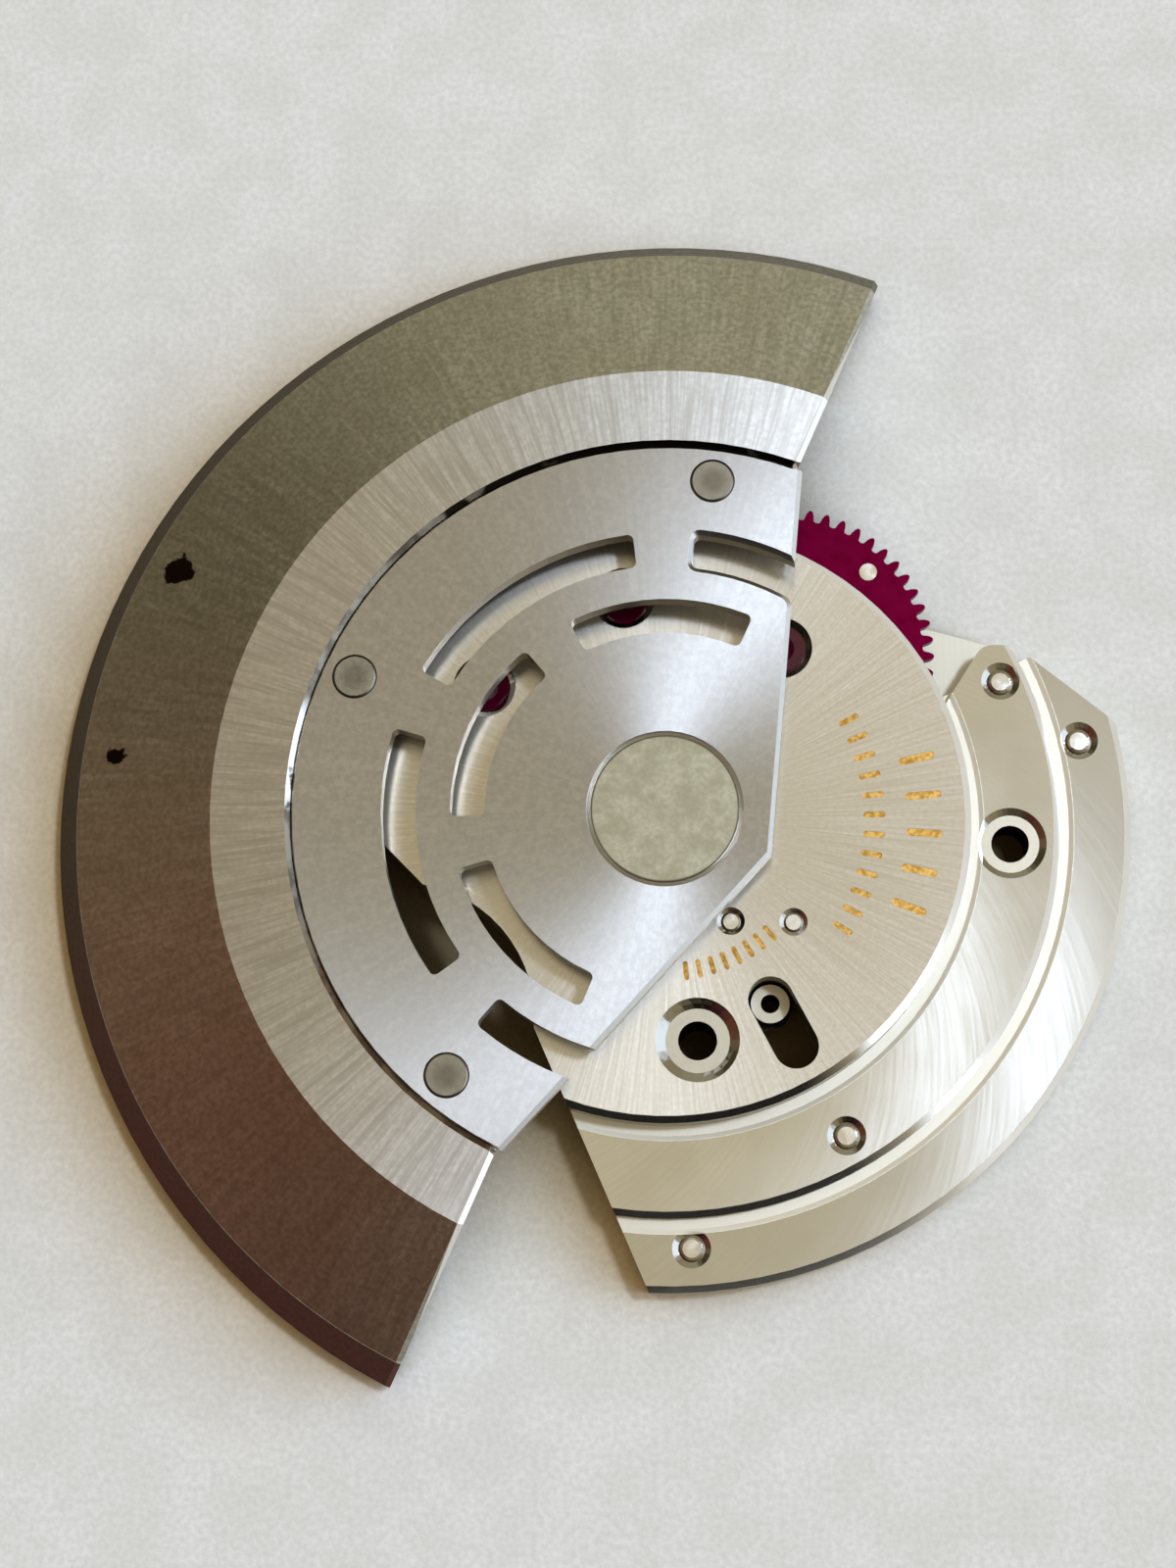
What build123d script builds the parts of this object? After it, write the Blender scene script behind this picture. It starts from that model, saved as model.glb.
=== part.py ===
from build123d import *
from math import acos, atan2, cos, degrees, hypot, radians, sin
import os

# Automatic watch rotor: a heavy half ring riveted to a slotted web, turning on the bridges
# of its self-winding module, with two reversing wheels and the gears that they drive.
# The origin is on the rotor's axis, in the plane that the module stands on. +Z is up,
# towards the rotor, and all lengths are in millimetres.

os.makedirs("parts", exist_ok=True)

# Heights, from the seat upwards
seat_relief = 0.25
plate_height = 0.35
train_room = 1.00
disc_height = 0.60
disc_to_web = 0.60
web_height = 0.50
ring_1_drop = 0.80
ring_2_drop = 0.30
plate_top = seat_relief + plate_height
roof = plate_top + train_room
disc_top = roof + disc_height
web_under = disc_top + disc_to_web
web_top = web_under + web_height
ring_1_top = disc_top - ring_1_drop
ring_2_top = ring_1_top - ring_2_drop

# Heavy segment: a flat band, a long bevel and a steep rim round the module
rotor_radius = 13.90
bevel_radius = 13.28
band_radius = 10.03
web_radius = 8.25
web_fit_gap = 0.015
lip_width = 1.35
lip_height = 0.40
lip_wall = 0.20
band_rise = 0.09
band_fall = 0.15
bevel_fall = 1.35
rim_fall = 1.11
rim_lift = 0.15
rim_round = 0.10
over_rings_gap = 0.35
skirt_gap = 0.39
band_edge = 0.11
end_offset = 0.35
end_edge = 0.12
end_lean_angle = 6.0
heavy_angle = 156.2

# Web: a wedge of sheet whose two edges pass the axle, with two rows of arc slots
web_edge_offset = 2.40
web_edge_angle = 18.6
web_edge = 0.10
web_rim_edge = 0.04
slot_edge = 0.035
slot_corner = 0.14
hub_corner = 0.32
slot_width = 0.77
slot_row_gap = 0.76
slot_margin = 2.00
inner_slot_step_angle = 65.3
inner_slot_angle = 51.0
outer_slot_middle_angle = 33.2
outer_slot_angle = 53.4
outer_slot_bar_angle = 12.7
rivet_inset = 0.75
rivet_step_angle = 74.6
rivet_radius = 0.50
rivet_proud = 0.03
rivet_round = 0.06

# Rotor axle: a wide riveted head, a journal in each bridge and a groove for the clip
head_radius = 1.68
head_edge = 0.05
collar_radius = 1.95
collar_height = 0.18
neck_radius = 1.10
neck_gap = 0.08
upper_journal = 0.80
pinion_seat = 0.70
stem_radius = 0.45
lower_journal = 0.40
groove_radius = 0.31
clip_height = 0.12
clip_lift = 0.08
clip_radius = 0.95
clip_mouth = 0.52
axle_lift = 0.03

# Outline of the module: three stepped bridges' edges, the balance notch and the cut ends
disc_radius = 6.77
ring_1_radius = 8.80
ring_2_radius = 10.41
step_edge = 0.15
cove_width = 0.33
cove_depth = 0.08
cove_slope = 0.10
notch_distance = 7.39
notch_angle = -143.2
notch_radius = 3.00
notch_edge_angle = 224.2
notch_edge_distance = 4.90
cut_angle = 203.4
cut_distance = 4.54
lobe_start_shares = (0.6932, 0.2694)
lobe_corner_shares = (0.8139, 0.4597)
lobe_round = 0.42
ring_2_end_shares = (0.7922, 0.3684)
ring_2_corner_shares = (0.9612, 0.2315)
plate_radius = 6.40
plate_shoulder_shares = (0.7656, 0.7703)
plate_end_shares = (0.8636, 0.4716)
plate_neck_shares = (0.9091, 0.4318)
rim_seat_radius = 7.60
seat_pad_radius = 0.55
seat_pad_shares = ((-0.8906, 0.0938), (0.1406, 0.8984))
tube_pad_radius = 1.30

# Gear train: one tooth size throughout, so every centre distance follows from the counts
tooth_module = 0.122
wheel_teeth = 55
rotor_pinion_teeth = 21
intermediate_teeth = 51
small_pinion_teeth = 10
driving_teeth = 22
reverser_b_angle = 55.9
reverser_a_angle = 186.9
driving_angle = -92.0
photo_tooth_angle = 77.7
addendum_share = 0.94
dedendum_share = 1.12
root_round_share = 0.24
shoulder_share = 0.55
tooth_shares = (0.30, 0.235, 0.165, 0.065)

# Heights of the gears above the lower bridge's plate
driving_wheel_lift = 0.06
driving_wheel_height = 0.12
low_pinion_lift = 0.04
low_pinion_height = 0.16
intermediate_lift = 0.24
intermediate_height = 0.14
arbor_pinion_lift = 0.20
arbor_pinion_height = 0.22
click_lift = 0.48
click_height = 0.12
red_wheel_lift = 0.64
red_wheel_height = 0.22
rotor_pinion_slack = 0.02
output_pinion_lift = 0.03
output_pinion_height = 0.18
pocket_gap = 0.30

# Reversing wheels: a toothed wheel loose on its arbor, two pawls and a ratchet on the arbor
journal_radius = 0.30
running_gap = 0.025
ratchet_teeth = 11
ratchet_radius = 1.30
ratchet_root = 1.06
pawl_circle = 2.79
pawl_pin_angle = 43.7
pawl_step_teeth = 6
pawl_nose_share = 0.60
pawl_pin_head = 0.20
pawl_pin_radius = 0.13
pawl_pin_foot = 0.20
pawl_foot_height = 0.03
pawl_head_proud = 0.015
pawl_eye = 0.28
pawl_nose = 0.07
pawl_reach = 1.36
pawl_nose_angle = 38.0
pivot_radius = 0.12
slim_radius = 0.14
pinion_neck = 0.30
driver_shaft = 0.33

# Jewels and bushes
jewel_radius = 0.56
jewel_edge = 0.14
jewel_top_drop = 0.10
jewel_height = 0.36
jewel_cup_radius = 0.30
jewel_cup_depth = 0.07
jewel_round = 0.04
low_jewel_radius = 0.45
low_jewel_inset = 0.03
rotor_jewel_radius = 1.28
low_rotor_jewel_radius = 0.78
driver_bush_radius = 0.58
driver_bush_proud = 0.02

# Screw tubes, slot, pins and the marks on the disc
tube_a_shares = (0.0985, -0.7325)
tube_a_radius = 0.71
tube_a_bore = 0.43
tube_a_sink = 0.93
tube_b_shares = (0.8731, -0.0576)
tube_b_radius = 0.65
tube_b_bore = 0.42
tube_b_sink = 0.80
tube_drop = 0.17
slot_start_shares = (0.3365, -0.6010)
slot_end_shares = (0.4165, -0.7533)
slot_radius = 0.50
slot_bush_radius = 0.43
slot_bush_bore = 0.21
slot_bush_top = 1.25
disc_pin_shares = ((0.2095, -0.3455), (0.4136, -0.3495))
disc_pin_radius = 0.17
disc_pin_sink = 0.31
disc_pin_drop = 0.06
disc_pin_length = 0.45
ring_1_pin_shares = ((0.8580, 0.3641), (0.4456, -0.7957))
ring_2_pin_shares = ((0.8936, 0.1803), (0.0474, -0.9069))
bridge_pin_radius = 0.25
bridge_pin_sink = 0.43
bridge_pin_drop = 0.06
bridge_pin_round = 0.05
screw_shares = ((0.7238, -0.4284), (-0.1920, -0.4579), (0.7681, 0.0295))
screw_radius = 0.22
screw_head_radius = 0.45
screw_head_height = 0.17
screw_depth = 0.85
screw_slot_width = 0.12
screw_slot_depth = 0.08
screw_hole_gap = 0.03
mark_depth = 0.05
mark_drop = 0.015
outer_marks_radius = 5.72
outer_marks_length = 0.80
outer_marks_width = 0.17
outer_marks_first_angle = -21.0
outer_marks_last_angle = 13.0
outer_marks_count = 5
middle_marks_radius = 4.62
middle_marks_length = 0.48
middle_marks_width = 0.13
middle_marks_first_angle = -33.0
middle_marks_last_angle = 28.0
middle_marks_count = 12
inner_marks_radius = 3.46
inner_marks_length = 0.42
inner_marks_width = 0.11
inner_marks_first_angle = -83.0
inner_marks_last_angle = -49.0
inner_marks_count = 8

# Cuts run past the faces that they leave by this much
overrun = 0.50
field = 2 * rotor_radius


def on_circle(radius, angle):
    return (radius * cos(radians(angle)), radius * sin(radians(angle)))


def from_point(start, distance, angle):
    step = on_circle(distance, angle)
    return (start[0] + step[0], start[1] + step[1])


def place_of(size, shares):
    """A point given as two shares of the size that carries it."""
    return (size * shares[0], size * shares[1])


def slab(face, low, high):
    """A flat outline made solid between two heights."""
    return Pos(0, 0, low) * extrude(face, high - low, dir=(0, 0, 1))


def round_bar(radius, low, high, at=(0, 0)):
    return slab(Pos(*at) * Circle(radius), low, high)


def turned(points, at=(0, 0)):
    """A profile of (radius, height) points turned round an upright axis."""
    face = Plane.XZ * make_face(Polyline(*points, close=True))
    return Pos(*at) * revolve(face, Axis.Z)


def beyond(angle, offset):
    """The half of the plane that lies past an offset in one direction."""
    centre = on_circle(offset + field, angle)
    return Pos(*centre) * Rot(0, 0, angle) * Rectangle(2 * field, 2 * field)


def countersink(radius, sink_radius, top, at):
    """A conical cut that leaves a polished bevel round a hole."""
    depth = sink_radius - radius
    points = ((0, top - depth), (radius, top - depth), (sink_radius, top), (0, top))
    return turned(points, at)


def pitch_radius(teeth):
    return tooth_module * teeth / 2


def tip_radius(teeth):
    return pitch_radius(teeth) + addendum_share * tooth_module


def centre_distance(teeth_1, teeth_2):
    return pitch_radius(teeth_1) + pitch_radius(teeth_2)


def mating_phase(phase, teeth, bearing, mate_teeth):
    """Where a mate's tooth stands so that it faces a gap of the first wheel."""
    turned_teeth = (bearing - phase) * teeth / 360
    return bearing + 180 - (0.5 - turned_teeth) * 360 / mate_teeth


def toothed_face(teeth, phase, at):
    """A toothed outline: rounded root, straight flank, drawn-in shoulder and narrow tip."""
    middle = pitch_radius(teeth)
    tip = tip_radius(teeth)
    root = middle - dedendum_share * tooth_module
    foot = root + root_round_share * tooth_module
    shoulder = middle + shoulder_share * addendum_share * tooth_module
    pitch = 360 / teeth
    foot_turn, middle_turn, shoulder_turn, tip_turn = [share * pitch for share in tooth_shares]
    levels = ((foot, foot_turn), (middle, middle_turn), (shoulder, shoulder_turn), (tip, tip_turn))
    edges = []
    for tooth in range(teeth):
        axis = phase + tooth * pitch
        rise = [from_point(at, radius, axis - turn) for radius, turn in levels]
        fall = [from_point(at, radius, axis + turn) for radius, turn in reversed(levels)]
        crown = from_point(at, tip, axis)
        valley = from_point(at, root, axis + pitch / 2)
        next_foot = from_point(at, foot, axis + pitch - foot_turn)
        edges += [Edge.make_line(p, q) for p, q in zip(rise, rise[1:])]
        edges.append(Edge.make_three_point_arc(rise[-1], crown, fall[0]))
        edges += [Edge.make_line(p, q) for p, q in zip(fall, fall[1:])]
        edges.append(Edge.make_three_point_arc(fall[-1], valley, next_foot))
    return Face(Wire(edges))


def gear(teeth, phase, at, low, height):
    return slab(toothed_face(teeth, phase, at), low, low + height)


def save(name, *solids):
    """Writes one node: a single solid, or a group of separate ones."""
    shape = solids[0] if len(solids) == 1 else Compound(children=list(solids))
    export_step(shape, os.path.join("parts", name + ".step"))


# Places on the disc, the rings and the plate
lobe_start = place_of(ring_1_radius, lobe_start_shares)
lobe_corner = place_of(ring_1_radius, lobe_corner_shares)
ring_2_end = place_of(ring_2_radius, ring_2_end_shares)
ring_2_corner = place_of(ring_2_radius, ring_2_corner_shares)
plate_shoulder = place_of(plate_radius, plate_shoulder_shares)
plate_end = place_of(ring_1_radius, plate_end_shares)
plate_neck = place_of(ring_1_radius, plate_neck_shares)
tube_a = place_of(disc_radius, tube_a_shares)
tube_b = place_of(ring_1_radius, tube_b_shares)
slot_start = place_of(disc_radius, slot_start_shares)
slot_end = place_of(disc_radius, slot_end_shares)
disc_pin_places = [place_of(disc_radius, shares) for shares in disc_pin_shares]
ring_1_pins = [place_of(ring_1_radius, shares) for shares in ring_1_pin_shares]
ring_2_pins = [place_of(ring_2_radius, shares) for shares in ring_2_pin_shares]
screw_places = [place_of(disc_radius, shares) for shares in screw_shares]
seat_pads = [place_of(plate_radius, shares) for shares in seat_pad_shares]

# Axes of the train, from the tooth counts
reverser_b = on_circle(centre_distance(wheel_teeth, rotor_pinion_teeth), reverser_b_angle)
reverser_spacing = centre_distance(wheel_teeth, wheel_teeth)
reverser_a = from_point(reverser_b, reverser_spacing, reverser_a_angle)
arbor_spacing = centre_distance(intermediate_teeth, small_pinion_teeth)
apex_turn = degrees(acos(reverser_spacing / 2 / arbor_spacing))
b_to_intermediate = reverser_a_angle - apex_turn
a_to_intermediate = reverser_a_angle - 180 + apex_turn
intermediate = from_point(reverser_b, arbor_spacing, b_to_intermediate)
driving_spacing = centre_distance(small_pinion_teeth, driving_teeth)
driver = from_point(intermediate, driving_spacing, driving_angle)

# Rest phases that put every pair in mesh
wheel_b_phase = photo_tooth_angle
wheel_a_phase = mating_phase(wheel_b_phase, wheel_teeth, reverser_a_angle, wheel_teeth)
rotor_bearing = reverser_b_angle + 180
rotor_pinion_phase = mating_phase(wheel_b_phase, wheel_teeth, rotor_bearing, rotor_pinion_teeth)
pinion_b_phase = mating_phase(0, intermediate_teeth, b_to_intermediate + 180, small_pinion_teeth)
pinion_a_phase = mating_phase(0, intermediate_teeth, a_to_intermediate + 180, small_pinion_teeth)
driving_phase = mating_phase(0, small_pinion_teeth, driving_angle, driving_teeth)

# Rows of slots and the rivets' circle, inwards from the web's outer edge
outer_slot_high = web_radius - slot_margin
outer_slot_low = outer_slot_high - slot_width
inner_slot_high = outer_slot_low - slot_row_gap
inner_slot_low = inner_slot_high - slot_width
rivet_circle = web_radius - rivet_inset

# Directions of the three rivets, and the two that the web's edges face
rivet_angles = [heavy_angle + turn for turn in (-rivet_step_angle, 0, rivet_step_angle)]
web_edge_angles = [heavy_angle + 180 + side * web_edge_angle for side in (-1, 1)]

# Heights that several pieces share
red_wheel_low = plate_top + red_wheel_lift
red_wheel_high = red_wheel_low + red_wheel_height
click_low = plate_top + click_lift
click_high = click_low + click_height
jewel_high = disc_top - jewel_top_drop
low_jewel_low = seat_relief + low_jewel_inset
low_jewel_high = plate_top - low_jewel_inset
lip_low = web_under - lip_height


def notch_face():
    """What is cut away at the left: a round notch for the balance and two straight cuts."""
    wedge = beyond(notch_edge_angle, notch_edge_distance) & beyond(cut_angle, cut_distance)
    return wedge + Pos(*on_circle(notch_distance, notch_angle)) * Circle(notch_radius)


def slot_face():
    """The obround slot through the disc."""
    run = hypot(slot_end[0] - slot_start[0], slot_end[1] - slot_start[1])
    lean = degrees(atan2(slot_end[1] - slot_start[1], slot_end[0] - slot_start[0]))
    middle = [(a + b) / 2 for a, b in zip(slot_start, slot_end)]
    return Pos(*middle) * Rot(0, 0, lean) * SlotCenterToCenter(run, 2 * slot_radius)


def disc_face():
    return Circle(disc_radius) - notch_face()


def ring_1_face():
    """The inner ring, from the straight cut round to its rounded end lobe."""
    far = [(field, lobe_corner[1]), (field, -field), (-field, -field)]
    side = make_face(Polyline((0, 0), lobe_start, lobe_corner, *far, close=True))
    ring = side & Circle(ring_1_radius)
    reach = (ring_1_radius**2 - lobe_corner[1] ** 2) ** 0.5
    corners = [(lobe_corner[0], lobe_corner[1], 0), (reach, lobe_corner[1], 0)]
    ring = fillet([ring.vertices().sort_by_distance(Vertex(*corner))[0] for corner in corners], lobe_round)
    return ring - notch_face()


def ring_2_face():
    """The outer ring, from the straight cut round to its slanted end."""
    lean = atan2(ring_2_corner[1] - ring_2_end[1], ring_2_corner[0] - ring_2_end[0])
    slant = from_point(ring_2_end, field, degrees(lean))
    far = [slant, (field, -field), (-field, -field)]
    side = make_face(Polyline((0, 0), ring_2_end, *far, close=True))
    return (side & Circle(ring_2_radius)) - notch_face()


def plate_face():
    """The lower bridge's plate, which the wheels overhang at the top."""
    edge = (plate_shoulder, plate_end, plate_neck, ring_2_end)
    shoulder = make_face(Polyline((0, 0), *edge, close=True))
    return (Circle(plate_radius) - notch_face()) + shoulder + ring_2_face()


def step_profile(low, radius, top):
    """A round step with a bevelled edge, standing in the cove at its own foot."""
    return (
        (0, low),
        (radius, low),
        (radius, top - step_edge),
        (radius - step_edge, top),
        (0, top),
    )


def cove_cut(radius, top):
    """The shallow turned groove at the foot of a step."""
    points = (
        (radius, top + overrun),
        (radius, top - cove_depth),
        (radius + cove_width - cove_slope, top - cove_depth),
        (radius + cove_width, top),
        (radius + cove_width, top + overrun),
    )
    return turned(points)


def heavy_segment():
    """A half ring turned to the band, bevel and rim, then sawn across just off the axis."""
    band_inner = web_top + band_rise
    band_outer = band_inner - band_fall
    bevel_low = band_outer - bevel_fall
    rim_low = bevel_low - rim_fall
    over_rings = ring_1_top + over_rings_gap
    skirt_radius = ring_2_radius + skirt_gap
    profile = (
        (web_radius - lip_width, lip_low),
        (web_radius + lip_wall, lip_low),
        (web_radius + lip_wall, over_rings),
        (skirt_radius, over_rings),
        (skirt_radius, rim_lift),
        (rotor_radius - rim_round, rim_lift),
        (rotor_radius, rim_lift + rim_round),
        (rotor_radius, rim_low),
        (bevel_radius, bevel_low),
        (band_radius, band_outer),
        (web_radius + band_edge, band_inner),
        (web_radius, band_inner - band_edge),
        (web_radius, web_under),
        (web_radius - lip_width, web_under),
    )
    ends = Location((*on_circle(end_offset, heavy_angle), web_top), (0, 0, heavy_angle))
    ends = ends * Rot(0, -end_lean_angle, 0)
    body = turned(profile) & (ends * Pos(field, 0, 0) * Box(2 * field, 2 * field, 2 * field))
    for angle in rivet_angles:
        place = on_circle(rivet_circle, angle)
        body -= round_bar(rivet_radius, lip_low - overrun, web_under + overrun, place)
    cut = Plane(ends * Rot(0, 90, 0))
    small = end_edge / 10

    def on_end(edge):
        """True for the upper edges of the sawn ends, all but the band's fall to the web."""
        if any(abs(cut.to_local_coords(edge @ share).Z) > small for share in (0, 0.5, 1)):
            return False
        middle = edge @ 0.5
        on_top = middle.Z > web_top
        on_slope = middle.Z > rim_low and hypot(middle.X, middle.Y) > band_radius
        return on_top or on_slope

    return chamfer([edge for edge in body.edges() if on_end(edge)], end_edge)


def arc_slot(low, high, start, end):
    """A slot between two radii and two angles, with rounded corners."""
    middle = (start + end) / 2
    outline = Wire(
        [
            Edge.make_three_point_arc(*(on_circle(high, a) for a in (start, middle, end))),
            Edge.make_line(on_circle(high, end), on_circle(low, end)),
            Edge.make_three_point_arc(*(on_circle(low, a) for a in (end, middle, start))),
            Edge.make_line(on_circle(low, start), on_circle(high, start)),
        ]
    )
    face = Sketch() + Face(outline)
    return fillet(face.vertices(), slot_corner)


def web():
    """A slotted wedge of sheet with a round outer edge, and bores for axle and rivets."""
    face = Circle(web_radius - web_fit_gap)
    for edge_angle in web_edge_angles:
        face -= beyond(edge_angle, web_edge_offset)
    for side in (-1, 0, 1):
        middle = heavy_angle + side * inner_slot_step_angle
        half = inner_slot_angle / 2
        face -= arc_slot(inner_slot_low, inner_slot_high, middle - half, middle + half)
    for side in (-1, 1):
        middle = heavy_angle + side * outer_slot_middle_angle
        half = outer_slot_angle / 2
        face -= arc_slot(outer_slot_low, outer_slot_high, middle - half, middle + half)
        start = middle + side * (half + outer_slot_bar_angle)
        end = start + side * outer_slot_angle
        face -= arc_slot(outer_slot_low, outer_slot_high, min(start, end), max(start, end))
    turn = degrees(acos(web_edge_offset / outer_slot_low))
    hub_point = Vertex(*on_circle(outer_slot_low, web_edge_angles[1] + turn), 0)
    face = fillet(face.vertices().sort_by_distance(hub_point)[0], hub_corner)
    body = slab(face, web_under, web_top)
    normals = [on_circle(1, edge_angle) for edge_angle in web_edge_angles]
    small = web_edge / 10

    def on_cut(edge):
        point = edge @ 0.5
        flush = abs(point.Z - web_top) < small and abs((edge @ 0).Z - web_top) < small
        return flush and any(
            abs(point.X * n[0] + point.Y * n[1] - web_edge_offset) < small for n in normals
        )

    body = chamfer([edge for edge in body.edges() if on_cut(edge)], web_edge)
    body -= round_bar(head_radius, web_under - overrun, web_top + overrun)
    body -= countersink(head_radius, head_radius + head_edge, web_top, (0, 0))
    rim = web_radius - web_fit_gap
    rim_cut = (
        (rim + overrun, web_top + overrun),
        (rim - web_rim_edge, web_top + overrun),
        (rim - web_rim_edge, web_top),
        (rim, web_top - web_rim_edge),
        (rim + overrun, web_top - web_rim_edge),
    )
    body -= turned(rim_cut)
    for angle in rivet_angles:
        place = on_circle(rivet_circle, angle)
        body -= round_bar(rivet_radius, web_under - overrun, web_top + overrun, place)
    return body


def rivets():
    low = lip_low
    high = web_top + rivet_proud
    profile = (
        (0, low),
        (rivet_radius, low),
        (rivet_radius, high - rivet_round),
        (rivet_radius - rivet_round, high),
        (0, high),
    )
    return [turned(profile, on_circle(rivet_circle, angle)) for angle in rivet_angles]


def rotor_axle():
    """The axle turned from one bar, widest at the riveted head and stepped down below."""
    pinion_low = red_wheel_low - rotor_pinion_slack
    pinion_high = red_wheel_high + rotor_pinion_slack
    neck_low = disc_top + neck_gap
    clip_high = clip_lift + clip_height
    profile = (
        (0, axle_lift),
        (lower_journal, axle_lift),
        (lower_journal, clip_lift),
        (groove_radius, clip_lift),
        (groove_radius, clip_high),
        (lower_journal, clip_high),
        (lower_journal, plate_top),
        (stem_radius, plate_top),
        (stem_radius, pinion_low),
        (pinion_seat, pinion_low),
        (pinion_seat, pinion_high),
        (upper_journal, pinion_high),
        (upper_journal, neck_low),
        (neck_radius, neck_low),
        (neck_radius, web_under - collar_height),
        (collar_radius, web_under - collar_height),
        (collar_radius, web_under),
        (head_radius, web_under),
        (head_radius, web_top - head_edge),
        (head_radius - head_edge, web_top),
        (0, web_top),
    )
    return turned(profile)


def clip():
    """A flat open ring that snaps into the axle's groove under the lower bridge."""
    mouth = beyond(heavy_angle, 0) & (Rot(0, 0, heavy_angle) * Rectangle(field, clip_mouth))
    face = Circle(clip_radius) - Circle(groove_radius) - mouth
    return slab(face, clip_lift, clip_lift + clip_height)


def upper_bridge():
    """The stepped bridge: a disc over the wheels, two lower rings, and the cuts in them."""
    disc = turned(step_profile(plate_top, disc_radius, disc_top))
    ring_1 = turned(step_profile(plate_top, ring_1_radius, ring_1_top)) - cove_cut(disc_radius, ring_1_top)
    ring_2 = turned(step_profile(plate_top, ring_2_radius, ring_2_top)) - cove_cut(ring_1_radius, ring_2_top)
    body = disc & slab(disc_face(), plate_top, disc_top)
    body += ring_1 & slab(ring_1_face(), plate_top, ring_1_top)
    body += ring_2 & slab(ring_2_face(), plate_top, ring_2_top)
    return body


def bridge_cuts(body):
    """Room for the wheels, the holes for jewels, tubes, pins and screws, and the mark pockets."""
    for place, teeth in (
        ((0, 0), rotor_pinion_teeth),
        (reverser_a, wheel_teeth),
        (reverser_b, wheel_teeth),
        (intermediate, intermediate_teeth),
    ):
        body -= round_bar(tip_radius(teeth) + pocket_gap, plate_top - overrun, roof, place)
    body -= round_bar(rotor_jewel_radius, plate_top, disc_top + overrun)
    for place in (reverser_a, reverser_b, intermediate):
        body -= round_bar(jewel_radius, plate_top, disc_top + overrun, place)
        body -= countersink(jewel_radius, jewel_radius + jewel_edge, disc_top, place)
    for place, radius, sink, top in (
        (tube_a, tube_a_radius, tube_a_sink, disc_top),
        (tube_b, tube_b_radius, tube_b_sink, ring_1_top),
    ):
        body -= round_bar(radius, plate_top - overrun, top + overrun, place)
        body -= countersink(radius, sink, top, place)
    body -= slab(slot_face(), plate_top - overrun, disc_top + overrun)
    for places, top in ((ring_1_pins, ring_1_top), (ring_2_pins, ring_2_top)):
        for place in places:
            body -= round_bar(bridge_pin_radius, plate_top - overrun, top + overrun, place)
            body -= countersink(bridge_pin_radius, bridge_pin_sink, top, place)
    for place in disc_pin_places:
        body -= round_bar(disc_pin_radius, disc_top - disc_pin_length, disc_top + overrun, place)
        body -= countersink(disc_pin_radius, disc_pin_sink, disc_top, place)
    for place in screw_places:
        body -= round_bar(screw_radius, plate_top - overrun, plate_top + screw_depth, place)
    for face in mark_faces():
        body -= slab(face, disc_top - mark_depth, disc_top + overrun)
    return body


def mark_faces():
    """Plain index strokes in three arcs, each pointing at the rotor's axis."""
    faces = []
    for radius, length, width, start, end, count in (
        (
            outer_marks_radius,
            outer_marks_length,
            outer_marks_width,
            outer_marks_first_angle,
            outer_marks_last_angle,
            outer_marks_count,
        ),
        (
            middle_marks_radius,
            middle_marks_length,
            middle_marks_width,
            middle_marks_first_angle,
            middle_marks_last_angle,
            middle_marks_count,
        ),
        (
            inner_marks_radius,
            inner_marks_length,
            inner_marks_width,
            inner_marks_first_angle,
            inner_marks_last_angle,
            inner_marks_count,
        ),
    ):
        for step in range(count):
            angle = start + (end - start) * step / (count - 1)
            stroke = SlotOverall(length, width)
            faces.append(Pos(*on_circle(radius, angle)) * Rot(0, 0, angle) * stroke)
    return faces


def lower_bridge():
    """The plate under the train, on a rim and pads that leave its middle clear of the seat."""
    body = slab(plate_face(), seat_relief, plate_top)
    rim = ring_2_face() - Circle(rim_seat_radius)
    body += slab(rim, 0, plate_top)
    for place in seat_pads:
        body += round_bar(seat_pad_radius, 0, plate_top, place)
    body += round_bar(tube_pad_radius, 0, plate_top, tube_a)
    holes = [
        (low_rotor_jewel_radius, (0, 0)),
        (low_jewel_radius, reverser_a),
        (low_jewel_radius, reverser_b),
        (low_jewel_radius, intermediate),
        (driver_bush_radius, driver),
        (tube_a_radius, tube_a),
        (tube_b_radius, tube_b),
    ]
    holes += [(bridge_pin_radius, place) for place in ring_1_pins + ring_2_pins]
    holes += [(screw_radius + screw_hole_gap, place) for place in screw_places]
    for radius, place in holes:
        body -= round_bar(radius, -overrun, plate_top + overrun, place)
    opening = slot_face() - (Pos(*slot_start) * Circle(slot_radius))
    body -= slab(opening, -overrun, plate_top + overrun)
    body -= round_bar(slot_bush_radius, -overrun, plate_top + overrun, slot_start)
    return body


def jewel(place, radius, bore, low, high, cup):
    """A ruby ring with a rounded edge and an oil cup on its upper face."""
    profile = (
        (bore, low),
        (radius, low),
        (radius, high - jewel_round),
        (radius - jewel_round, high),
        (cup, high),
        (bore, high - jewel_cup_depth),
    )
    return turned(profile, place)


def small_jewels(name, place):
    """The upper and lower ruby of one arbor."""
    bore = pivot_radius + running_gap
    jewel_low = jewel_high - jewel_height
    upper = jewel(place, jewel_radius, bore, jewel_low, jewel_high, jewel_cup_radius)
    lower = jewel(place, low_jewel_radius, bore, low_jewel_low, low_jewel_high, jewel_cup_radius)
    save(name + "_jewel_upper", upper)
    save(name + "_jewel_lower", lower)


def tube(place, radius, bore, high):
    """A pressed screw tube with a flat annular top."""
    return round_bar(radius, 0, high, place) - round_bar(bore, -overrun, high + overrun, place)


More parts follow.
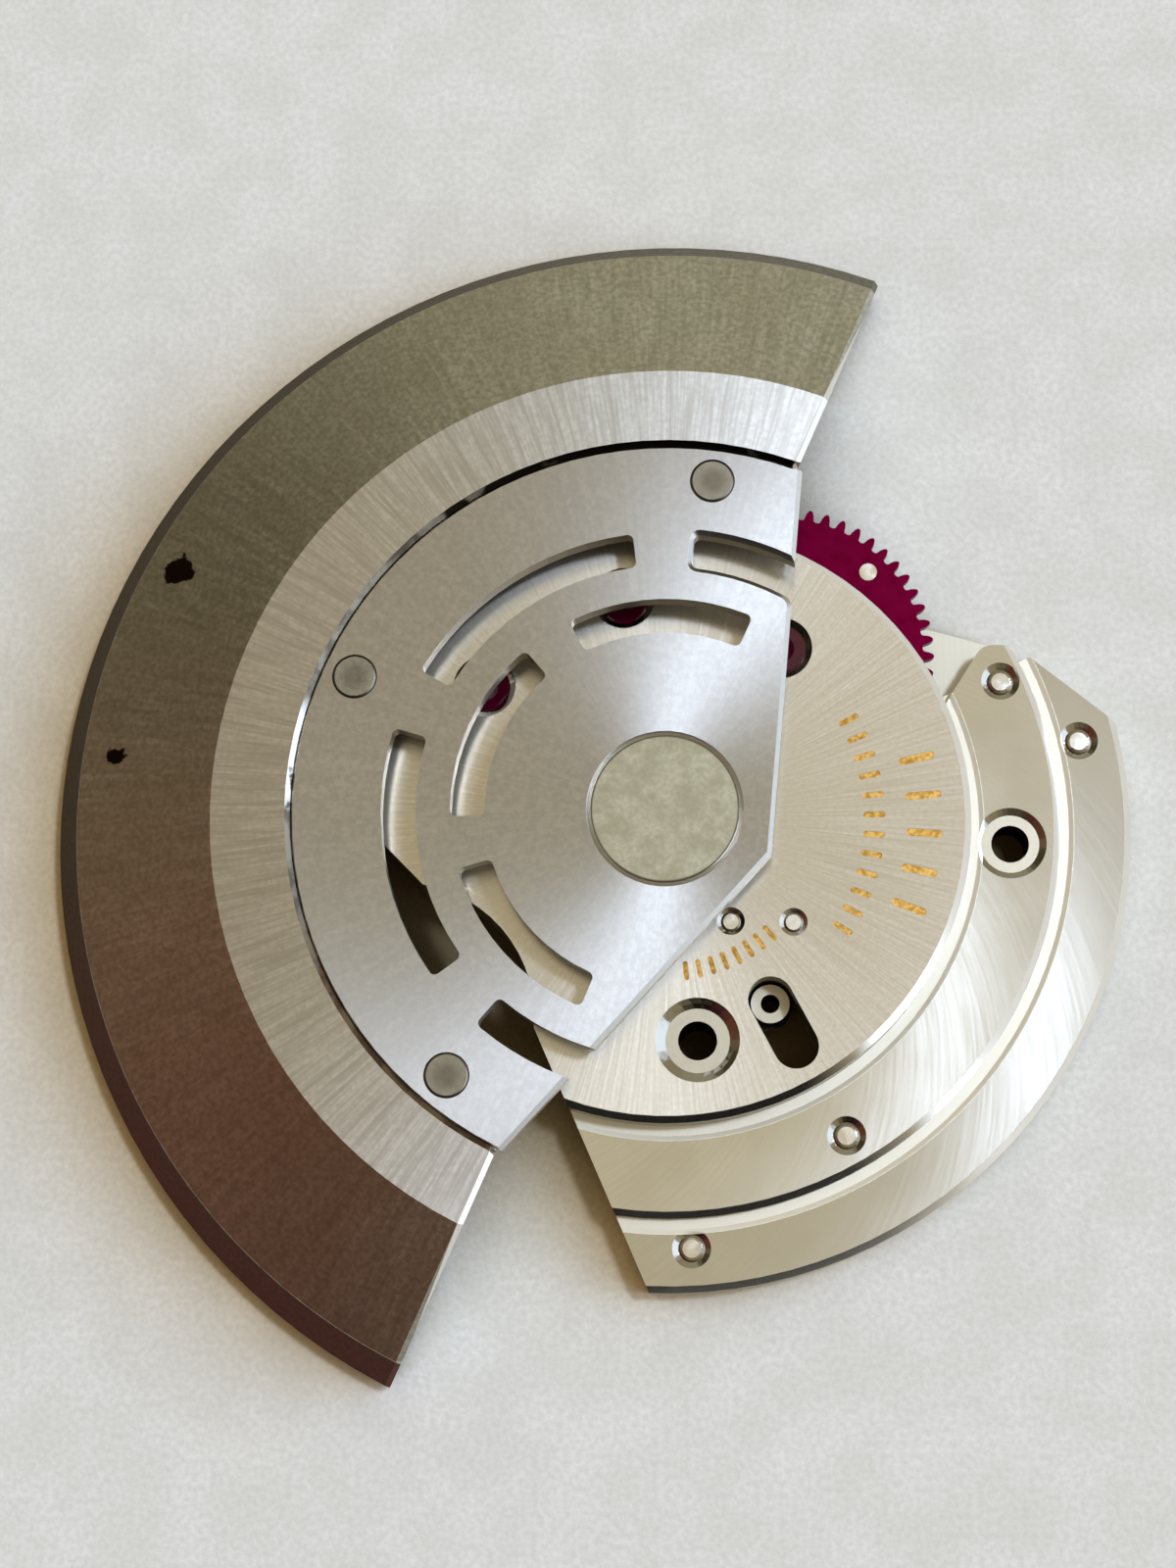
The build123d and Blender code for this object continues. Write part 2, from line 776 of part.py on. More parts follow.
def riveted_pin(place, low, top):
    high = top - bridge_pin_drop
    profile = (
        (0, low),
        (bridge_pin_radius, low),
        (bridge_pin_radius, high - bridge_pin_round),
        (bridge_pin_radius - bridge_pin_round, high),
        (0, high),
    )
    return turned(profile, place)


def bridge_screw(place):
    """A cheese-head screw put in from below, its head inside the relief."""
    head_low = seat_relief - screw_head_height
    body = round_bar(screw_head_radius, head_low, seat_relief, place)
    body += round_bar(screw_radius, seat_relief, plate_top + screw_depth, place)
    groove = Pos(*place) * Rot(0, 0, heavy_angle) * Rectangle(field, screw_slot_width)
    return body - slab(groove, head_low - overrun, head_low + screw_slot_depth)


def ratchet_face(phase, place):
    """A star of saw teeth, steep on the driving side."""
    pitch = 360 / ratchet_teeth
    points = []
    for tooth in range(ratchet_teeth):
        angle = phase + tooth * pitch
        points.append(from_point(place, ratchet_root, angle))
        points.append(from_point(place, ratchet_radius, angle))
    return make_face(Polyline(*points, close=True))


def pawl(place, pin_angle):
    """A click: an eye on its pin and a tapered arm whose nose stands just off the ratchet."""
    pin = from_point(place, pawl_circle, pin_angle)
    nose = from_point(place, pawl_reach + pawl_nose, pin_angle + pawl_nose_angle)
    lean = degrees(atan2(nose[1] - pin[1], nose[0] - pin[0]))
    sides = [
        from_point(pin, pawl_eye, lean + 90),
        from_point(nose, pawl_nose, lean + 90),
        from_point(nose, pawl_nose, lean - 90),
        from_point(pin, pawl_eye, lean - 90),
    ]
    face = make_face(Polyline(*sides, close=True))
    face += Pos(*pin) * Circle(pawl_eye)
    face += Pos(*nose) * Circle(pawl_nose)
    face -= Pos(*pin) * Circle(pawl_pin_radius + running_gap)
    return slab(face, click_low, click_high)


def pawl_pin(place, pin_angle):
    """A shouldered pin riveted in the toothed wheel, with a foot that holds the pawl."""
    foot_low = click_low - running_gap - pawl_foot_height
    profile = (
        (0, foot_low),
        (pawl_pin_foot, foot_low),
        (pawl_pin_foot, foot_low + pawl_foot_height),
        (pawl_pin_radius, foot_low + pawl_foot_height),
        (pawl_pin_radius, red_wheel_low),
        (pawl_pin_head, red_wheel_low),
        (pawl_pin_head, red_wheel_high + pawl_head_proud),
        (0, red_wheel_high + pawl_head_proud),
    )
    return turned(profile, from_point(place, pawl_circle, pin_angle))


def arbor(place, phase):
    """An arbor with its leaves cut from the solid, a seat for the ratchet and two pivots."""
    leaf_low = plate_top + arbor_pinion_lift
    shoulder = plate_top + low_pinion_lift
    top = red_wheel_high + low_pinion_lift
    profile = (
        (0, low_jewel_low),
        (pivot_radius, low_jewel_low),
        (pivot_radius, shoulder),
        (journal_radius, shoulder),
        (journal_radius, top),
        (pivot_radius, top),
        (pivot_radius, jewel_high),
        (0, jewel_high),
    )
    return turned(profile, place) + gear(small_pinion_teeth, phase, place, leaf_low, arbor_pinion_height)


def reverser(name, place, wheel_phase, leaf_phase):
    """One reversing wheel with its arbor, ratchet, pawls and pawl pins."""
    wheel = gear(wheel_teeth, wheel_phase, place, red_wheel_low, red_wheel_height)
    wheel -= round_bar(journal_radius + running_gap, red_wheel_low - overrun, red_wheel_high + overrun, place)
    pins = []
    ratchet_pitch = 360 / ratchet_teeth
    for number, turn in enumerate((0, pawl_step_teeth * ratchet_pitch), start=1):
        angle = pawl_pin_angle + turn
        at = from_point(place, pawl_circle, angle)
        wheel -= round_bar(pawl_pin_head, red_wheel_low - overrun, red_wheel_high + overrun, at)
        pins.append(pawl_pin(place, angle))
        save(f"{name}_pawl_{number}", pawl(place, angle))
    save(name + "_wheel", wheel)
    save(name + "_pawl_pins", *pins)
    star_phase = pawl_pin_angle + pawl_nose_angle - pawl_nose_share * ratchet_pitch
    star = slab(ratchet_face(star_phase, place), click_low, click_high)
    star -= round_bar(journal_radius, click_low - overrun, click_high + overrun, place)
    save(name + "_ratchet", star)
    save(name + "_arbor", arbor(place, leaf_phase))


def intermediate_arbor():
    leaf_low = plate_top + low_pinion_lift
    leaf_high = leaf_low + low_pinion_height
    wheel_high = plate_top + intermediate_lift + intermediate_height
    profile = (
        (0, low_jewel_low),
        (pivot_radius, low_jewel_low),
        (pivot_radius, leaf_low),
        (pinion_neck, leaf_low),
        (pinion_neck, wheel_high),
        (slim_radius, wheel_high),
        (slim_radius, roof),
        (pivot_radius, roof),
        (pivot_radius, jewel_high),
        (0, jewel_high),
    )
    body = turned(profile, intermediate)
    body += gear(small_pinion_teeth, 0, intermediate, leaf_low, leaf_high - leaf_low)
    return body


# The rotor
save("weight_segment", heavy_segment())
save("rotor_web", web())
save("weight_rivets", *rivets())
save("rotor_axle", rotor_axle())
save("axle_clip", clip())
rotor_pinion_low = red_wheel_low - rotor_pinion_slack
rotor_pinion_height = red_wheel_height + 2 * rotor_pinion_slack
rotor_pinion = gear(rotor_pinion_teeth, rotor_pinion_phase, (0, 0), rotor_pinion_low, rotor_pinion_height)
save("rotor_pinion", rotor_pinion - round_bar(pinion_seat, 0, disc_top))

# The bridges and what is fixed in them
save("upper_bridge", bridge_cuts(upper_bridge()))
save("lower_bridge", lower_bridge())
save("index_marks", *[slab(face, disc_top - mark_depth, disc_top - mark_drop) for face in mark_faces()])
save("screw_tube_a", tube(tube_a, tube_a_radius, tube_a_bore, disc_top - tube_a_sink + tube_a_radius))
save("screw_tube_b", tube(tube_b, tube_b_radius, tube_b_bore, ring_1_top - tube_b_sink + tube_b_radius))
save("slot_bush", tube(slot_start, slot_bush_radius, slot_bush_bore, slot_bush_top))
inner_pins = [riveted_pin(place, 0, ring_1_top) for place in ring_1_pins]
outer_pins = [riveted_pin(place, 0, ring_2_top) for place in ring_2_pins]
save("bridge_pins", *inner_pins, *outer_pins)
disc_pins = [
    round_bar(disc_pin_radius, disc_top - disc_pin_length, disc_top - disc_pin_drop, place)
    for place in disc_pin_places
]
save("disc_pins", *disc_pins)
save("bridge_screws", *[bridge_screw(place) for place in screw_places])
upper_rotor_bore = upper_journal + running_gap
lower_rotor_bore = lower_journal + running_gap
rotor_cup = upper_rotor_bore + jewel_cup_depth
low_cup = lower_rotor_bore + jewel_cup_depth
upper_ruby = jewel((0, 0), rotor_jewel_radius, upper_rotor_bore, roof, jewel_high, rotor_cup)
lower_ruby = jewel((0, 0), low_rotor_jewel_radius, lower_rotor_bore, seat_relief, low_jewel_high, low_cup)
save("rotor_jewel_upper", upper_ruby)
save("rotor_jewel_lower", lower_ruby)
small_jewels("reverser_a", reverser_a)
small_jewels("reverser_b", reverser_b)
small_jewels("intermediate", intermediate)
bush = round_bar(driver_bush_radius, seat_relief, plate_top + driver_bush_proud, driver)
save("driver_bush", bush - round_bar(driver_shaft + running_gap, 0, disc_top, driver))

# The train
reverser("reverser_a", reverser_a, wheel_a_phase, pinion_a_phase)
reverser("reverser_b", reverser_b, wheel_b_phase, pinion_b_phase)
intermediate_low = plate_top + intermediate_lift
intermediate_wheel = gear(intermediate_teeth, 0, intermediate, intermediate_low, intermediate_height)
save("intermediate_wheel", intermediate_wheel - round_bar(pinion_neck, 0, disc_top, intermediate))
save("intermediate_arbor", intermediate_arbor())
driving_low = plate_top + driving_wheel_lift
driving_wheel = gear(driving_teeth, driving_phase, driver, driving_low, driving_wheel_height)
driving_wheel += round_bar(driver_shaft, output_pinion_lift, driving_low, driver)
save("driving_wheel", driving_wheel)
output_pinion = gear(small_pinion_teeth, 0, driver, output_pinion_lift, output_pinion_height)
save("output_pinion", output_pinion - round_bar(driver_shaft, 0, seat_relief, driver))
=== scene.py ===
import bpy
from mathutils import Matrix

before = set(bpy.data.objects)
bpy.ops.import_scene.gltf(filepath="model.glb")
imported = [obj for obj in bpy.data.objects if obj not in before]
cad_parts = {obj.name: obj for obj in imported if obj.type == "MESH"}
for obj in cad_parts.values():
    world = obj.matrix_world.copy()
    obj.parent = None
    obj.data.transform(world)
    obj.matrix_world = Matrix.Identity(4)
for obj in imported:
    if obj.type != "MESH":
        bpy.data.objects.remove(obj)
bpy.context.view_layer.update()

import bpy
import math
import numpy as np

# Camera
# The photograph is taken from above and a little from the near side, from about 67 mm away in the
# object's own size, so near things look larger. The frame is 1200 x 1600 pixels.
camera_place_mm = (1.265, -11.654, 66.511)
camera_tilt_degrees = (10.92, 2.67, 0.0)
camera_focal_pixels = 3000.0
frame_height_pixels = 1600.0
sensor_width_mm = 36.0
nearest_seen = 0.001
farthest_seen = 10.0
camera_data = bpy.data.cameras.new("camera")
camera_data.sensor_fit = "AUTO"
camera_data.sensor_width = sensor_width_mm
camera_data.lens = camera_focal_pixels / frame_height_pixels * sensor_width_mm
camera_data.clip_start = nearest_seen
camera_data.clip_end = farthest_seen
camera = bpy.data.objects.new("camera", camera_data)
camera.location = [mm / 1000 for mm in camera_place_mm]
camera.rotation_euler = [math.radians(angle) for angle in camera_tilt_degrees]
bpy.context.scene.collection.objects.link(camera)
bpy.context.scene.camera = camera

# Room light
# A warm pale ceiling, a tall cool window at the right over a bright wall, and dark wood at the left
# and near side, which polished edges show. Past the worktop the camera sees a plain pale wall.


def linear(hex_colour):
    """An sRGB hex value such as D8D2C4 as linear red, green, blue and an alpha of 1."""
    values = np.array([int(hex_colour[i:i + 2], 16) for i in (0, 2, 4)]) / 255.0
    out = np.where(values <= 0.04045, values / 12.92, ((values + 0.055) / 1.055) ** 2.4)
    return (*out, 1.0)


def add_node(tree, kind, links=(), **settings):
    """Adds one shader node with its settings and returns its outputs. links holds a socket to link
    or a value to set for each input, in their order or by name or number."""
    node = tree.nodes.new("ShaderNode" + kind)
    for name, value in settings.items():
        setattr(node, name, value)
    for name, value in links.items() if isinstance(links, dict) else enumerate(links):
        if isinstance(value, bpy.types.NodeSocket):
            tree.links.new(value, node.inputs[name])
        else:
            node.inputs[name].default_value = value
    return node.outputs


def eased(tree, value, low, high, first=0.0, second=1.0, most=1.0):
    """Goes softly from first to second as value goes from low to high. They are two numbers, or two
    colours, and most is how far it goes towards the second colour."""
    numbers = isinstance(second, float)
    ends = (first, second) if numbers else (0.0, most)
    share = add_node(tree, "MapRange", (value, low, high, *ends), interpolation_type="SMOOTHSTEP")[0]
    if numbers:
        return share
    return add_node(tree, "Mix", {0: share, 6: first, 7: second}, data_type="RGBA")[2]


world = bpy.data.worlds.new("room")
bpy.context.scene.world = world
world.use_nodes = True
sky = world.node_tree
sky.nodes.clear()
direction = add_node(sky, "TexCoord")["Generated"]
height = add_node(sky, "SeparateXYZ", (direction,))["Z"]
low_wall = (0.46, 0.41, 0.29, 1.0)
high_ceiling = (0.50, 0.445, 0.315, 1.0)
ceiling = eased(sky, height, 0.2, 0.8, low_wall, high_ceiling)
# Each round patch: azimuth and elevation of its centre, inner and outer edge in degrees, radiance
for azimuth, elevation, inner, outer, radiance in (
    (10, 58, 10, 62, (0.60, 0.54, 0.395)),  # ceiling near the window
    (88, 28, 8, 30, (0.60, 0.58, 0.46)),  # pale far wall
    (142, 26, 6, 30, (0.12, 0.10, 0.055)),  # dim far corner
    (205, 34, 14, 40, (0.23, 0.092, 0.055)),  # brown wood at the left
    (235, 25, 8, 30, (0.125, 0.034, 0.045)),  # dark red wood at the near left
    (265, 0, 34, 56, (0.010, 0.009, 0.008)),  # dark near side
    (-8, 2, 26, 40, (2.0, 2.25, 2.7)),  # bright wall under the window
    (2, 32, 12, 32, (2.0, 2.4, 3.1)),  # window
    (20, 63, 6, 20, (0.95, 1.05, 1.25)),  # glow round the lamp
    (20, 67.5, 2, 4.5, (65.0, 77.0, 101.0)),  # small cool lamp
):
    turn, rise = math.radians(azimuth), math.radians(elevation)
    centre = (math.cos(rise) * math.cos(turn), math.cos(rise) * math.sin(turn), math.sin(rise))
    nearness = add_node(sky, "VectorMath", (direction, centre), operation="DOT_PRODUCT")["Value"]
    edge, core = math.cos(math.radians(outer)), math.cos(math.radians(inner))
    ceiling = eased(sky, nearness, edge, core, ceiling, (*radiance, 1.0))
seen = add_node(sky, "LightPath")["Is Camera Ray"]
ceiling = add_node(sky, "Mix", {0: seen, 6: ceiling, 7: linear("D3D1C8")}, data_type="RGBA")[2]
room = add_node(sky, "Background", {"Color": ceiling, "Strength": 1.0})["Background"]
add_node(sky, "OutputWorld", {"Surface": room})
bpy.context.scene.view_settings.view_transform = "Standard"

# Worktop
# A pale warm-grey matt worktop. Its paint has a fine tooth and faint clouds of wear. It goes warm
# where the object hides the window, and dark close under the object, where little light gets in.
table = bpy.data.materials.new("matt worktop")
table.use_nodes = True
tree = table.node_tree
tree.nodes.clear()
place = add_node(tree, "TexCoord")["Object"]
tooth_mm = 0.14  # about 0.05 mm on real paint, too fine to show
tooth_depth_mm = 0.03
cloud_mm = 1.6
tooth = add_node(tree, "TexNoise", {"Vector": place, "Scale": 1000 / tooth_mm, "Detail": 3.0})["Fac"]
cloud = add_node(tree, "TexNoise", {"Vector": place, "Scale": 1000 / cloud_mm, "Detail": 4.0})["Fac"]
paint = eased(tree, cloud, 0.3, 0.7, linear("ECE8DC"), linear("F6F2E8"))
paint = eased(tree, tooth, 0.25, 0.75, paint, linear("D9D4C6"), most=0.55)
bump = {"Height": tooth, "Strength": 0.35, "Distance": tooth_depth_mm / 1000}
dent = add_node(tree, "Bump", bump)["Normal"]
closeness_mm = 4.0
window_side = (0.87, 0.10, 0.48)
to_window = {"Distance": closeness_mm / 1000, "Normal": add_node(tree, "CombineXYZ", window_side)[0]}
to_sky = {"Distance": closeness_mm / 1000}
for reach, low, high, shadow in ((to_window, 0.30, 0.95, "F4DAA6"), (to_sky, 0.15, 0.68, "6A5A38")):
    open_share = add_node(tree, "AmbientOcclusion", reach, samples=8)["AO"]
    tint = {0: 1.0, 6: paint, 7: linear(shadow)}
    shaded = add_node(tree, "Mix", tint, data_type="RGBA", blend_type="MULTIPLY")[2]
    paint = eased(tree, open_share, low, high, shaded, paint)
matt = {"Base Color": paint, "Roughness": 0.8, "Normal": dent}
shader = add_node(tree, "BsdfPrincipled", matt)["BSDF"]
add_node(tree, "OutputMaterial", {"Surface": shader})
half_side = 3.0
corners = [(x * half_side, y * half_side, 0) for x, y in ((-1, -1), (1, -1), (1, 1), (-1, 1))]
table_mesh = bpy.data.meshes.new("table")
table_mesh.from_pydata(corners, [], [(0, 1, 2, 3)])
table_top = bpy.data.objects.new("table", table_mesh)
table_mesh.materials.append(table)
bpy.context.scene.collection.objects.link(table_top)

# Lower bridge
# The plate under the gears, milled from nickel-plated brass and left with a fine satin from
# stoning. Inside the gear chamber its level faces are painted near-black as shade, which shows in the
# obround slot.


def start_material(name):
    """A new empty material, its node tree and its Object coordinates."""
    material = bpy.data.materials.new(name)
    material.use_nodes = True
    material.node_tree.nodes.clear()
    place = add_node(material.node_tree, "TexCoord")["Object"]
    return material, material.node_tree, place


def brush_lines(tree, along, across, length_mm, width_mm):
    """Brush lines, noise drawn out to length_mm along the stroke and width_mm wide, from the places
    in metres along and across it. Real lines are 0.01 to 0.04 mm wide, too fine to show, so the
    widths used here are a few times as coarse."""
    stretched = [
        add_node(tree, "Math", (run, 1000 / size_mm), operation="MULTIPLY")[0]
        for run, size_mm in ((along, length_mm), (across, width_mm))
    ]
    stroke = add_node(tree, "CombineXYZ", stretched)[0]
    return add_node(tree, "TexNoise", {"Vector": stroke, "Scale": 1.0, "Detail": 3.0})["Fac"]


def metal(tree, colour, roughness, height=None, depth_mm=0.0, anisotropy=0.0, tangent=None, normal=None):
    """The shader of a bare metal, with its brush lines as bump and a tangent across them."""
    links = {"Base Color": colour, "Roughness": roughness, "Metallic": 1.0, "Anisotropic": anisotropy}
    if height is not None:
        bump = {"Height": height, "Strength": 1.0, "Distance": depth_mm / 1000}
        normal = add_node(tree, "Bump", bump)["Normal"]
    if normal is not None:
        links["Normal"] = normal
    if tangent is not None:
        links["Tangent"] = tangent
    return add_node(tree, "BsdfPrincipled", links)["BSDF"]


def plan_distance(tree, place, middle=(0.0, 0.0, 0.0)):
    """How far a place is from a middle, the rotor's axis unless one is given, seen from above."""
    flat = add_node(tree, "VectorMath", (place, (1.0, 1.0, 0.0)), operation="MULTIPLY")[0]
    return add_node(tree, "VectorMath", (flat, middle), operation="DISTANCE")["Value"]


def upward(tree):
    """How far a face looks up: 1 for a level top, 0 for an upright wall, -1 for an underside."""
    normal = add_node(tree, "NewGeometry")["True Normal"]
    return add_node(tree, "SeparateXYZ", (normal,))["Z"]


def where(tree, *tests):
    """1 where every test holds and 0 elsewhere. A test is a value, > or <, and a limit."""
    share = None
    for value, sign, limit in tests:
        operation = "GREATER_THAN" if sign == ">" else "LESS_THAN"
        held = add_node(tree, "Math", (value, limit), operation=operation)[0]
        share = held if share is None else add_node(tree, "Math", (share, held), operation="MULTIPLY")[0]
    return share


def dress(material, shader, *nodes):
    """Closes a material with its shader and puts it on whole CAD nodes."""
    add_node(material.node_tree, "OutputMaterial", {"Surface": shader})
    for node in nodes:
        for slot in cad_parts[node].material_slots:
            slot.material = material


stoned, tree, place = start_material("stoned nickel plate")
right, far, _ = add_node(tree, "SeparateXYZ", (place,))
strokes = brush_lines(tree, far, right, length_mm=2.5, width_mm=0.07)
colour = add_node(
    tree, "Mix", {0: strokes, 6: linear("C0B8A3"), 7: linear("D2CBB8")}, data_type="RGBA"
)[2]
chamber_mm = 6.6
floor_limit = 0.5
from_axis = plan_distance(tree, place)
# Level faces inside the gear chamber are painted near-black as shade.
chamber_painted_shade = where(tree, (from_axis, "<", chamber_mm / 1000), (upward(tree), ">", floor_limit))
colour = add_node(tree, "Mix", {0: chamber_painted_shade, 6: colour, 7: linear("1E1A15")}, data_type="RGBA")[2]
shader = metal(tree, colour, eased(tree, strokes, 0.2, 0.8, 0.34, 0.46), strokes, depth_mm=0.0006)
dress(stoned, shader, "lower_bridge")

# Screws and pins
# The screws from below, the riveted pins and the rotor's clip, all of hardened steel. They are
# polished, so their ends show the room sharply under a faint haze.
polished, tree, place = start_material("polished hardened steel")
haze_mm = 0.25  # under 0.1 mm on real polished ends, too fine to show
haze = add_node(tree, "TexNoise", {"Vector": place, "Scale": 1000 / haze_mm, "Detail": 2.0})["Fac"]
colour = add_node(tree, "Mix", {0: haze, 6: linear("E8E2D6"), 7: linear("F6F1E8")}, data_type="RGBA")[2]
shader = metal(tree, colour, eased(tree, haze, 0.3, 0.7, 0.16, 0.28), haze, depth_mm=0.0004)
pawl_pins = [f"reverser_{side}_pawl_pins" for side in "ab"]
dress(polished, shader, "bridge_screws", "bridge_pins", "disc_pins", "axle_clip", *pawl_pins)

# Train of gears
# The steel arbors, pinions, ratchets and pawls are polished and straw-grey. The two flat wheels of
# the train are cut from gilt brass with a fine straight grain, which gives them a soft sheen.
steel, tree, place = start_material("cut pinion steel")
fleck_mm = 0.12  # real cutter marks are about 0.03 mm, too fine to show
fleck = add_node(tree, "TexNoise", {"Vector": place, "Scale": 1000 / fleck_mm, "Detail": 2.0})["Fac"]
colour = add_node(tree, "Mix", {0: fleck, 6: linear("B9B4AA"), 7: linear("D8D4CC")}, data_type="RGBA")[2]
shader = metal(tree, colour, eased(tree, fleck, 0.3, 0.7, 0.16, 0.30), fleck, depth_mm=0.0005)
cut_parts = [
    f"reverser_{side}_{part}" for side in "ab" for part in ("pawl_1", "pawl_2", "ratchet", "arbor")
]
dress(steel, shader, "rotor_pinion", "intermediate_arbor", "output_pinion", *cut_parts)

brass, tree, place = start_material("grained gilt brass")
right, far, _ = add_node(tree, "SeparateXYZ", (place,))
strokes = brush_lines(tree, right, far, length_mm=1.2, width_mm=0.06)
colour = add_node(
    tree, "Mix", {0: strokes, 6: linear("CFA24E"), 7: linear("E8C987")}, data_type="RGBA"
)[2]
shader = metal(tree, colour, eased(tree, strokes, 0.2, 0.8, 0.22, 0.36), strokes, depth_mm=0.0005)
dress(brass, shader, "intermediate_wheel", "driving_wheel")

# Reversing wheels
# Aluminium wheels with a hard dark-red anodised coat that runs dry. The dye tints all that the metal
# gives back, so the wheel looks deep and slightly satin, with a faint mottle.
anodised, tree, place = start_material("red anodised aluminium")
mottle_mm = 0.30
mottle = add_node(tree, "TexNoise", {"Vector": place, "Scale": 1000 / mottle_mm, "Detail": 3.0})["Fac"]
colour = add_node(
    tree, "Mix", {0: mottle, 6: linear("56001F"), 7: linear("6E062E")}, data_type="RGBA"
)[2]
shader = metal(tree, colour, eased(tree, mottle, 0.3, 0.7, 0.34, 0.44), mottle, depth_mm=0.0006)
dress(anodised, shader, "reverser_a_wheel", "reverser_b_wheel")

# Upper bridge
# The stepped bridge, turned from brass and nickel plated. The disc has a swept grain and the rings a
# leaning turned one. Bevels and sinks are polished, the bevels bright and the sinks painted darker as
# shade, and the coves at the steps are pale satin.


def around_axis(tree, place, facing_degrees):
    """Radius, angle and height about the rotor's axis. The angle is 0 in the direction faced."""
    turn = {"Vector": place, "Angle": -math.radians(facing_degrees)}
    turned = add_node(tree, "VectorRotate", turn, rotation_type="Z_AXIS")[0]
    out, side, up = add_node(tree, "SeparateXYZ", (turned,))
    flat = add_node(tree, "CombineXYZ", (out, side))[0]
    radius = add_node(tree, "VectorMath", (flat,), operation="LENGTH")["Value"]
    return radius, add_node(tree, "Math", (side, out), operation="ARCTAN2")[0], up


def tangent_at(tree, place, lean):
    """The level direction that lean radians turn from straight out of the axis, in the world."""
    flat = add_node(tree, "VectorMath", (place, (1.0, 1.0, 0.0)), operation="MULTIPLY")[0]
    turned = add_node(tree, "VectorRotate", {"Vector": flat, "Angle": lean}, rotation_type="Z_AXIS")[0]
    spaces = {"vector_type": "VECTOR", "convert_from": "OBJECT", "convert_to": "WORLD"}
    return add_node(tree, "VectorTransform", (turned,), **spaces)[0]


def flatness(tree):
    """1 for a level face, whether it looks up or down, and 0 for an upright wall."""
    return add_node(tree, "Math", (upward(tree),), operation="ABSOLUTE")[0]


def rounded_normal(tree, share):
    """The normal of a hollow that is rounder than its faces: they lean by a share of what they do."""
    normal = add_node(tree, "NewGeometry")["True Normal"]
    leaning = (normal, (share, share, share), (0.0, 0.0, 1.0))
    leaning = add_node(tree, "VectorMath", leaning, operation="MULTIPLY_ADD")[0]
    return add_node(tree, "VectorMath", (leaning,), operation="NORMALIZE")[0]


wall_limit = 0.3
level_limit = 0.99
bridge_facing_degrees = -45.0
disc_radius_mm = 6.77
ring_1_radius_mm = 8.80
ring_2_radius_mm = 10.41
disc_top_mm = 2.20
height_slack_mm = 0.01
grained, tree, place = start_material("nickel plate, turned and grained")
far = add_node(tree, "SeparateXYZ", (place,))["Y"]
radius, angle, height = around_axis(tree, place, bridge_facing_degrees)
round_run = add_node(tree, "Math", (angle, disc_radius_mm / 1000), operation="MULTIPLY")[0]
grain_mm = 0.10  # about 0.03 mm on the real plate, too fine to show
stain_mm = 1.4
grain = add_node(tree, "TexNoise", {"Vector": place, "Scale": 1000 / grain_mm, "Detail": 3.0})["Fac"]
stain = add_node(tree, "TexNoise", {"Vector": place, "Scale": 1000 / stain_mm, "Detail": 3.0})["Fac"]

# The disc's swept grain. Its tangent turns a little from the near side to the far side, and a share
# of duller metal spreads its highlight.
disc_lean_degrees = 85
disc_sweep_per_mm = math.radians(-3.4)
dull_share = 0.2
spokes = brush_lines(tree, radius, round_run, length_mm=3.0, width_mm=0.08)
disc_colour = eased(tree, spokes, 0.3, 0.7, linear("DCD4C2"), linear("E8E1D1"))
disc_colour = eased(tree, grain, 0.3, 0.7, disc_colour, linear("D3CAB7"), most=0.4)
disc_lean = (far, disc_sweep_per_mm * 1000, math.radians(disc_lean_degrees))
disc_lean = add_node(tree, "Math", disc_lean, operation="MULTIPLY_ADD")[0]
disc_roughness = eased(tree, spokes, 0.25, 0.75, 0.235, 0.275)
disc_tangent = tangent_at(tree, place, disc_lean)
disc_shader = metal(
    tree, disc_colour, disc_roughness, spokes, depth_mm=0.0002, anisotropy=0.60, tangent=disc_tangent
)
dull_shader = metal(tree, disc_colour, 0.6, spokes, depth_mm=0.0002)
disc_shader = add_node(tree, "MixShader", (dull_share, disc_shader, dull_shader))[0]

# The rings' turned grain, whose lines lean more towards each ring's outer edge
snail_lean = math.radians(46)
ring_lean_degrees = 27
ring_sweep_degrees = 38
out_cos, out_sin, round_cos, round_sin = [
    add_node(tree, "Math", (run, share), operation="MULTIPLY")[0]
    for run in (radius, round_run)
    for share in (math.cos(snail_lean), math.sin(snail_lean))
]
snail_across = add_node(tree, "Math", (out_cos, round_sin), operation="ADD")[0]
snail_along = add_node(tree, "Math", (round_cos, out_sin), operation="SUBTRACT")[0]
snail = brush_lines(tree, snail_along, snail_across, length_mm=2.0, width_mm=0.07)
ring_span = (ring_1_radius_mm - disc_radius_mm) / 1000
past_disc = add_node(tree, "Math", (radius, disc_radius_mm / 1000), operation="SUBTRACT")[0]
past_step = add_node(tree, "Math", (past_disc, ring_span), operation="MODULO")[0]
ring_place = add_node(tree, "Math", (past_step, ring_span), operation="DIVIDE")[0]
outer_ring = where(tree, (radius, ">", ring_1_radius_mm / 1000))
outer_tint = add_node(tree, "Math", (outer_ring, 0.4), operation="MULTIPLY")[0]
ring_colour = eased(tree, stain, 0.3, 0.7, linear("E0DCD1"), linear("EAE7DE"))
ring_colour = eased(tree, snail, 0.3, 0.7, ring_colour, linear("DAD6CA"), most=0.45)
ring_colour = add_node(
    tree, "Mix", {0: outer_tint, 6: ring_colour, 7: linear("C6C2B6")}, data_type="RGBA"
)[2]
ring_lean = (ring_place, math.radians(ring_sweep_degrees), math.radians(ring_lean_degrees))
ring_lean = add_node(tree, "Math", ring_lean, operation="MULTIPLY_ADD")[0]
ring_roughness = eased(tree, snail, 0.25, 0.75, 0.165, 0.20)
ring_tangent = tangent_at(tree, place, ring_lean)
ring_shader = metal(
    tree, ring_colour, ring_roughness, snail, depth_mm=0.0004, anisotropy=0.64, tangent=ring_tangent
)
